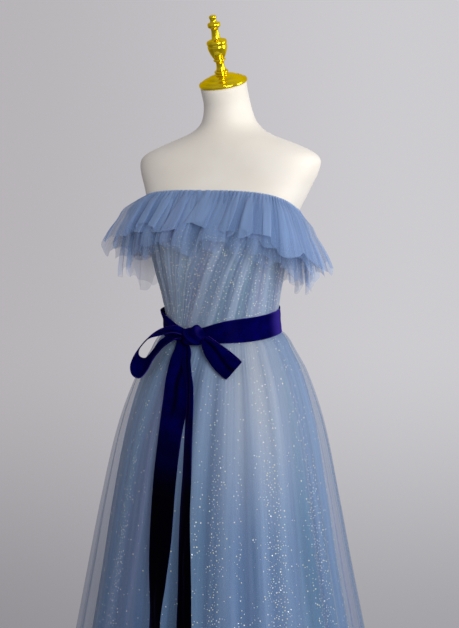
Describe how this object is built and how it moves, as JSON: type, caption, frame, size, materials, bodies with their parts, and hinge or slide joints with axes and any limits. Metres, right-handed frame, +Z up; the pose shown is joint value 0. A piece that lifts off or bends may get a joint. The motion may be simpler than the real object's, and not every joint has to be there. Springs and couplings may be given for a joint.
{
  "type": "strapless tulle a-line gown on a dress form",
  "caption": "Floor-length strapless tulle gown with a two-tier ruffle, a full skirt over a glitter layer and a velvet sash with a bow, standing on a limbless dress form.",
  "frame": {"origin": "on the floor under the middle of the skirt's hem", "axes": "+Z up to the finial, -Y towards the wearer's front, +X towards the gown's left side"},
  "size_m": [0.803, 0.783, 1.6879],
  "materials": {
    "form_cream": "smooth matte cream cover",
    "gold": "polished yellow gold plating",
    "bodice_tulle": "grey-blue pleated tulle with a fine glitter beneath",
    "ruffle_tulle": "soft matte dusty-blue tulle",
    "skirt_tulle": "sheer matte dusty-blue tulle",
    "glitter_tulle": "denser blue tulle with fine gold and silver glitter",
    "velvet": "deep navy velvet ribbon",
    "zip_nylon": "concealed zip chain in the cloth's blue",
    "zip_metal": "enamelled slider and pull tab in the cloth's blue"
  },
  "bodies": {
    "gown": {"stand_base": "gold", "stand_pole": "gold", "dress_form": "form_cream", "neck_cap": "gold", "finial": "gold", "bodice_front": "bodice_tulle", "bodice_back_left": "bodice_tulle", "bodice_back_right": "bodice_tulle", "zip_chain": "zip_nylon", "zip_slider": "zip_metal", "ruffle_lower": "ruffle_tulle", "ruffle_upper": "ruffle_tulle", "skirt_underlayer_front": "glitter_tulle", "skirt_underlayer_back": "glitter_tulle", "skirt_overlay_front": "skirt_tulle", "skirt_overlay_back": "skirt_tulle", "sash_belt": "velvet", "bow_knot": "velvet", "bow_loop_left": "velvet", "bow_loop_right": "velvet", "bow_tail_left": "velvet", "bow_tail_right": "velvet"},
    "zip_pull": {"zip_pull_tab": "zip_metal"}
  },
  "joints": [
    {"name": "zip_pull_swing", "type": "hinge", "parent": "gown", "child": "zip_pull", "pos_m": [0, 0.097, 1.236], "axis": [1, 0, 0], "range_deg": [-6, 140]}
  ]
}
